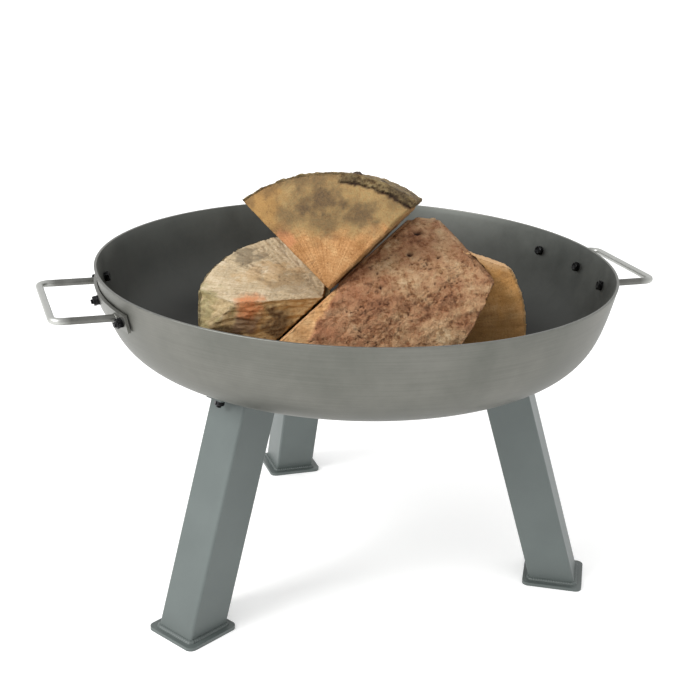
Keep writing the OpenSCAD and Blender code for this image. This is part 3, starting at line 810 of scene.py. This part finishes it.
# %% Right piece
def right_piece():
    mesh, points, normals = even_net("log_right")
    tree = in_tree(points, frame_right)
    stack = points @ np.array(Matrix.Rotation(stack_turn, 3, "Z"))
    radius = np.hypot(tree[:, 0], tree[:, 1])
    end = soft_step(-3.5 * mm, -1.2 * mm, tree[:, 2])
    skin = soft_step(4.5 * mm, 2 * mm, log_radius - radius)
    side = lumps(tree, (4 * mm, 4 * mm, 50 * mm), 5, 4)
    sink = (
        (1.2 + 1.2 * lumps(tree, (22 * mm,) * 3, 1, 5)) * mm * end
        + (1.4 + 1.3 * side) * mm * (1 - end)
        + (0.6 + 0.8 * lumps(tree, (8 * mm, 8 * mm, 25 * mm), 2, 4)) * mm * skin
    )
    foot = soft_step(338 * mm, 296 * mm,
                     stack[:, 2] + 14 * mm * lumps(points, (20 * mm,) * 3, 7, 4))
    slope = np.array((math.sin(math.radians(17)), 0, math.cos(math.radians(17))))
    slope = np.array(Matrix.Rotation(math.radians(-12), 3, "X")) @ slope
    # Above a slanted plane near the top edge the wood is painted lighter: a painted highlight.
    top_edge_highlight = soft_step(-9 * mm, -5 * mm, (stack - np.array((182, -20, 379)) * mm) @ slope)
    none = np.zeros(len(points))
    masks = {"foot": foot, "bark": skin * 0.6, "blush": none, "hollow_shade": none,
             "amber": patch(tree, (116, 56, 0), (26, 30, 40), 0.7, 4), "top_edge_highlight": top_edge_highlight}
    material = wood("clean split softwood", ("#c08f56", "#d3a66e", "#e2bd8c"),
                    [("top_edge_highlight", "#dcb587", 0.8), ("amber", "#cf9a55", 0.5),
                     ("foot", "#9a7442", 0.7)],
                    ("#a5834f", "#c9a878", "#d8bd92", "#e6d2b0"), ring_share=0.2,
                    fibre_share=0.4)
    return finish_log("wood_piece_right", mesh, points, normals, sink, masks, tree, material,
                      "log_stack")


right_piece()

# %% [markdown]
# Every bolt stands square to the dish where it goes through.  The same curve that made the dish
# gives that place and the lean of the wall there, so bolts, nuts and the CAD holes agree.

# %% Bolt places
handle_drop, bolt_angle = 26.5 * mm, 15.9
strip_out, lug_out = 4.5 * mm, 5.0 * mm
washer_thick, nut_high, thread_out = 1.6 * mm, 5.0 * mm, 2.5 * mm
head_seat = -(sheet + washer_thick + 0.15 * mm)
foot_circle, splay = 258.7 * mm, math.radians(17.4)
leg_at = {"front_left": 210, "front_right": 330, "rear": 90}


def find_t(wanted, which, low=0.0, high=1.0):
    for _ in range(40):
        middle = (low + high) / 2
        if section(middle)[which] > wanted:
            low = middle
        else:
            high = middle
    return (low + high) / 2


def dish_frame(around, t):
    r, z = section(t)
    out_r, out_z = section_normal(t)
    tilt = math.atan2(out_r, out_z)
    return (
        Matrix.Rotation(math.radians(around), 4, "Z") @ Matrix.Translation((r, 0, z))
        @ Matrix.Rotation(tilt, 4, "Y")
    )


t_handle = find_t(rim_z - handle_drop, 1)
r_foot_top = foot_circle - (rim_z - dish_depth - 4 * mm) * math.tan(splay)
half_face = 26 * mm / math.cos(splay)
frames_at = {}
for side, around in (("right", 0), ("left", 180)):
    frames_at["handle", side] = [dish_frame(around + k * bolt_angle, t_handle) for k in (-1, 0, 1)]
for leg, around in leg_at.items():
    radii = (r_foot_top + half_face + 9 * mm, r_foot_top - half_face - 9 * mm)
    frames_at["leg", leg] = [dish_frame(around, find_t(r, 0, 0.3)) for r in radii]
print("first bolt at", [round(v, 4) for v in frames_at["handle", "right"][1].translation])

# %% [markdown]
# A hexagon head is turned from hexagon bar, so the lathe cuts each corner back in a small curve.
# The helper gives the radius of a hexagon 10 mm across flats in any direction, and the height
# that the 30 degree chamfer leaves there.  The thread is a real helix with the 1 mm pitch of an
# M6 screw: the radius goes up and down as the turn and the height together go round.

# %% Heads, nuts and threads
around_hex = 48
flats, crown = 5.0 * mm, 4.7 * mm


def hex_radius(j):
    turn = (360 * j / around_hex) % 60 - 30
    return flats / math.cos(math.radians(turn))


def hex_rows(spec):
    rows = []
    for kind, value, z, side in spec:
        row = []
        for j in range(around_hex):
            a = 2 * math.pi * j / around_hex
            r = hex_radius(j) if kind == "hex" else value
            cut = (r - crown) * math.tan(math.radians(30)) if kind == "hex" else 0
            row.append((r * math.cos(a), r * math.sin(a), z + side * cut))
        rows.append(row)
    return rows


def nut_rows(z):
    return hex_rows([
        ("round", 3.1 * mm, z, 0), ("round", crown, z, 0), ("hex", 0, z, 1),
        ("hex", 0, z + nut_high, -1), ("round", crown, z + nut_high, 0),
        ("round", 3.5 * mm, z + nut_high, 0), ("round", 3.1 * mm, z + nut_high - 0.4 * mm, 0),
    ])


def head_rows():
    top = head_seat - 4.0 * mm
    return hex_rows([
        ("round", 0.1 * mm, top + 0.15 * mm, 0), ("round", 3.2 * mm, top + 0.15 * mm, 0),
        ("round", 3.5 * mm, top, 0), ("round", crown, top, 0), ("hex", 0, top, 1),
        ("hex", 0, head_seat - 0.3 * mm, 0), ("round", 4.9 * mm, head_seat, 0),
        ("round", 3.0 * mm, head_seat, 0),
    ])


def thread_rows(start, tip):
    rows = [[(3 * mm * math.cos(2 * math.pi * j / around_hex),
              3 * mm * math.sin(2 * math.pi * j / around_hex), z)
             for j in range(around_hex)] for z in (head_seat, start - 0.2 * mm)]
    pitch = 1.0 * mm
    for z in np.arange(start, tip + 1e-7, pitch / 7):
        row = []
        for j in range(around_hex):
            a = 2 * math.pi * j / around_hex
            wave = abs(((z / pitch - a / (2 * math.pi)) % 1) * 2 - 1)
            r = min(3.0 * mm - 0.5 * mm * wave, 2.3 * mm + (tip - z) * 0.9)
            row.append((r * math.cos(a), r * math.sin(a), z))
        rows.append(row)
    rows.append([(0.05 * mm * math.cos(2 * math.pi * j / around_hex),
                  0.05 * mm * math.sin(2 * math.pi * j / around_hex), tip)
                 for j in range(around_hex)])
    return rows


def stacked(name, groups, body, node, material, closed_rows=False):
    points, faces = [], []
    for rows, place in groups:
        base = len(points)
        flat_rows = [place @ Vector(p) for row in rows for p in row]
        points += flat_rows
        count = len(rows[0])
        for face in grid_faces(len(rows), count):
            faces.append(tuple(base + v for v in face))
        if closed_rows:
            last = base + (len(rows) - 1) * count
            for j in range(count):
                k = (j + 1) % count
                faces.append((last + j, last + k, base + k, base + j))
    piece = mesh_piece(name, points, faces, body)
    bm = bmesh.new()
    bm.from_mesh(piece.data)
    bmesh.ops.recalc_face_normals(bm, faces=bm.faces)
    bm.to_mesh(piece.data)
    bm.free()
    piece.data.set_sharp_from_angle(angle=math.radians(32))
    piece.data.materials.append(material)
    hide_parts(node)
    return piece


for (group, where), places in frames_at.items():
    deep = strip_out if group == "handle" else lug_out
    nut_at = deep + washer_thick
    tip = nut_at + nut_high + thread_out
    bolts = [(head_rows(), m) for m in places]
    bolts += [(thread_rows(nut_at + nut_high - 1 * mm, tip), m) for m in places]
    stacked(f"{group}_screws_{where}", bolts, "pit", f"{group}_bolts_{where}",
            oxide)
    stacked(f"{group}_hex_nuts_{where}", [(nut_rows(nut_at), m) for m in places], "pit",
            f"{group}_nuts_{where}", oxide, closed_rows=True)
print("screws and nuts for", len(frames_at), "places")

# %% [markdown]
# A weld bead is a row of overlapping drops of molten wire.  It is swept here as a quarter-round
# fillet whose size swells and sinks every 3 mm, with a little chance in each drop.  One bead runs
# round the foot of each tube, and one round each handle arm where it meets its strip.

# %% Weld beads
def bead_rows(path, outward, size, seed):
    rows, run = [], 0.0
    for i, (p, out) in enumerate(zip(path, outward)):
        run += (p - path[i - 1]).length if i else 0
        drop = abs(math.sin(math.pi * run / (3 * mm)))
        swell = size * (0.72 + 0.2 * drop + 0.08 * noise.noise(p / (5 * mm) + Vector((seed,) * 3)))
        rows.append((p, out, swell))
    return rows


def foot_bead(leg, around):
    half_x, half_y, corner = half_face, 26 * mm, 3 * mm
    turn = Matrix.Rotation(math.radians(around), 4, "Z")
    path, out = [], []
    for cx, cy, start in ((1, 1, 0), (-1, 1, 90), (-1, -1, 180), (1, -1, 270)):
        for a in range(0, 91, 15):
            d = Vector((math.cos(math.radians(start + a)), math.sin(math.radians(start + a)), 0))
            path.append(Vector((cx * (half_x - corner), cy * (half_y - corner), 0)) + d * corner)
            out.append(d)
    full, full_out = [], []
    for i, p in enumerate(path):
        q, d, e = path[(i + 1) % len(path)], out[i], out[(i + 1) % len(path)]
        steps = max(1, int((q - p).length / (0.6 * mm)))
        for s in range(steps):
            full.append(p.lerp(q, s / steps))
            full_out.append(d.lerp(e, s / steps).normalized())
    points, faces = [], []
    for p, d, size in bead_rows(full, full_out, 3.6 * mm, around):
        for k in range(6):
            a = math.pi / 2 * k / 5
            height = size * math.sin(a) * 0.95
            place = p + d * (size * math.cos(a)) + Vector((-height * math.tan(splay), 0, height))
            points.append(turn @ (place + Vector((foot_circle, 0, 4 * mm))))
    rows = len(full)
    for i in range(rows):
        for k in range(5):
            j = (i + 1) % rows
            faces.append((i * 6 + k, j * 6 + k, j * 6 + k + 1, i * 6 + k + 1))
    bead = mesh_piece(f"foot_bead_{leg}", points, faces, "pit")
    bead.data.materials.append(paint)
    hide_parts(f"foot_weld_{leg}")


def arm_beads(side, sign):
    seat_r = section(t_handle)[0] + strip_out / section_normal(t_handle)[0]
    slope = section_normal(t_handle)[1] / section_normal(t_handle)[0]
    points, faces = [], []
    for y_side in (-1, 1):
        base, turns = len(points), 96
        for i in range(turns):
            a = 2 * math.pi * i / turns
            d = Vector((0, math.cos(a), math.sin(a)))
            y, z = y_side * 69 * mm + 4 * mm * d.y, 4 * mm * d.z
            drop = abs(math.sin(math.pi * 9 * i / turns))
            size = 1.5 * mm * (0.75 + 0.25 * drop + 0.1 * noise.noise(Vector((a * 3, y_side, sign))))
            for k in range(6):
                b = math.pi / 2 * k / 5
                yy, zz = y + d.y * size * math.cos(b), z + d.z * size * math.cos(b)
                seat = math.sqrt((seat_r - zz * slope) ** 2 - yy * yy)
                x = seat - 0.1 * mm + size * 1.3 * math.sin(b)
                points.append((sign * x, sign * yy, rim_z - handle_drop + zz))
        for i in range(turns):
            j = (i + 1) % turns
            for k in range(5):
                faces.append(tuple(base + v for v in (i * 6 + k, j * 6 + k, j * 6 + k + 1,
                                                      i * 6 + k + 1)))
    bead = mesh_piece(f"arm_beads_{side}", points, faces, "pit")
    bead.data.materials.append(steel_bar)
    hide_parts(f"handle_welds_{side}")


for leg, around in leg_at.items():
    foot_bead(leg, around)
arm_beads("right", 1)
arm_beads("left", -1)
print("weld beads", len(leg_at) + 2)

# %% [markdown]
# The stage is a studio sweep: a pale floor, with a soft white room all round.  The floor glows
# very faintly, as a lit paper roll does, so that the shadow under the bowl stays light.  A wide
# key light stands at the left and a little in front, which makes the left face of each leg
# lighter than its right face.

# %% Stage and light
floor_mesh = bpy.data.meshes.new("paper_floor")
floor_mesh.from_pydata([(-9, -9, 0), (9, -9, 0), (9, 9, 0), (-9, 9, 0)], [], [(0, 1, 2, 3)])
paper_floor = bpy.data.objects.new("paper_floor", floor_mesh)
bpy.context.scene.collection.objects.link(paper_floor)
paper, tree, shader = finish_named("matt white paper", 0.0, 0.9)
shader.inputs["Base Color"].default_value = linear("#f2f2f2")
shader.inputs["Specular IOR Level"].default_value = 0.2
shader.inputs["Emission Color"].default_value = (1, 1, 1, 1)
shader.inputs["Emission Strength"].default_value = 0.32
paper_floor.data.materials.append(paper)

room = bpy.data.worlds.new("soft_room")
room.use_nodes = True
room.node_tree.nodes["Background"].inputs["Color"].default_value = (1, 1, 1, 1)
room.node_tree.nodes["Background"].inputs["Strength"].default_value = 1.0
bpy.context.scene.world = room
bpy.context.scene.view_settings.view_transform = "Standard"


def soft_light(name, place, target, size, watts):
    lamp = bpy.data.lights.new(name, "AREA")
    lamp.shape = "DISK"
    lamp.size = size
    lamp.energy = watts
    stand = bpy.data.objects.new(name, lamp)
    bpy.context.scene.collection.objects.link(stand)
    stand.location = place
    stand.rotation_euler = (Vector(target) - Vector(place)).to_track_quat("-Z", "Y").to_euler()
    return stand


key = soft_light("key", (-2.9, -0.9, 2.3), (0, 0, 0.3), 1.6, 95)
print("key light", round((key.location - Vector((0, 0, 0.3))).length, 2), "m away")

# %% [markdown]
# The pieces that stay as the CAD made them take their finishes here: paint on the legs, bare
# steel on the strips and bars, and black oxide on the washers.  A bevel modifier softens each
# sharp edge by 0.2 to 0.5 mm, because a cut or folded edge always catches a thin line of light.

# %% Finishes on the CAD pieces
for name, piece in nodes.items():
    if name.startswith(("leg_tube", "leg_lugs", "foot_plate")):
        use, round_off = paint, 0.5 * mm
    elif name.startswith("handle_strip"):
        use, round_off = steel_strip, 0.4 * mm
    elif name.startswith("handle_bar"):
        use, round_off = steel_bar, 0
    elif name.startswith(("handle_washers", "handle_packing", "leg_washers")):
        use, round_off = oxide, 0.2 * mm
    else:
        continue
    piece.data.materials.clear()
    piece.data.materials.append(use)
    if round_off:
        soft_edge = piece.modifiers.new("soft_edge", "BEVEL")
        soft_edge.width = round_off
        soft_edge.segments = 2
        soft_edge.limit_method = "ANGLE"
        soft_edge.angle_limit = math.radians(40)
        soft_edge.harden_normals = True
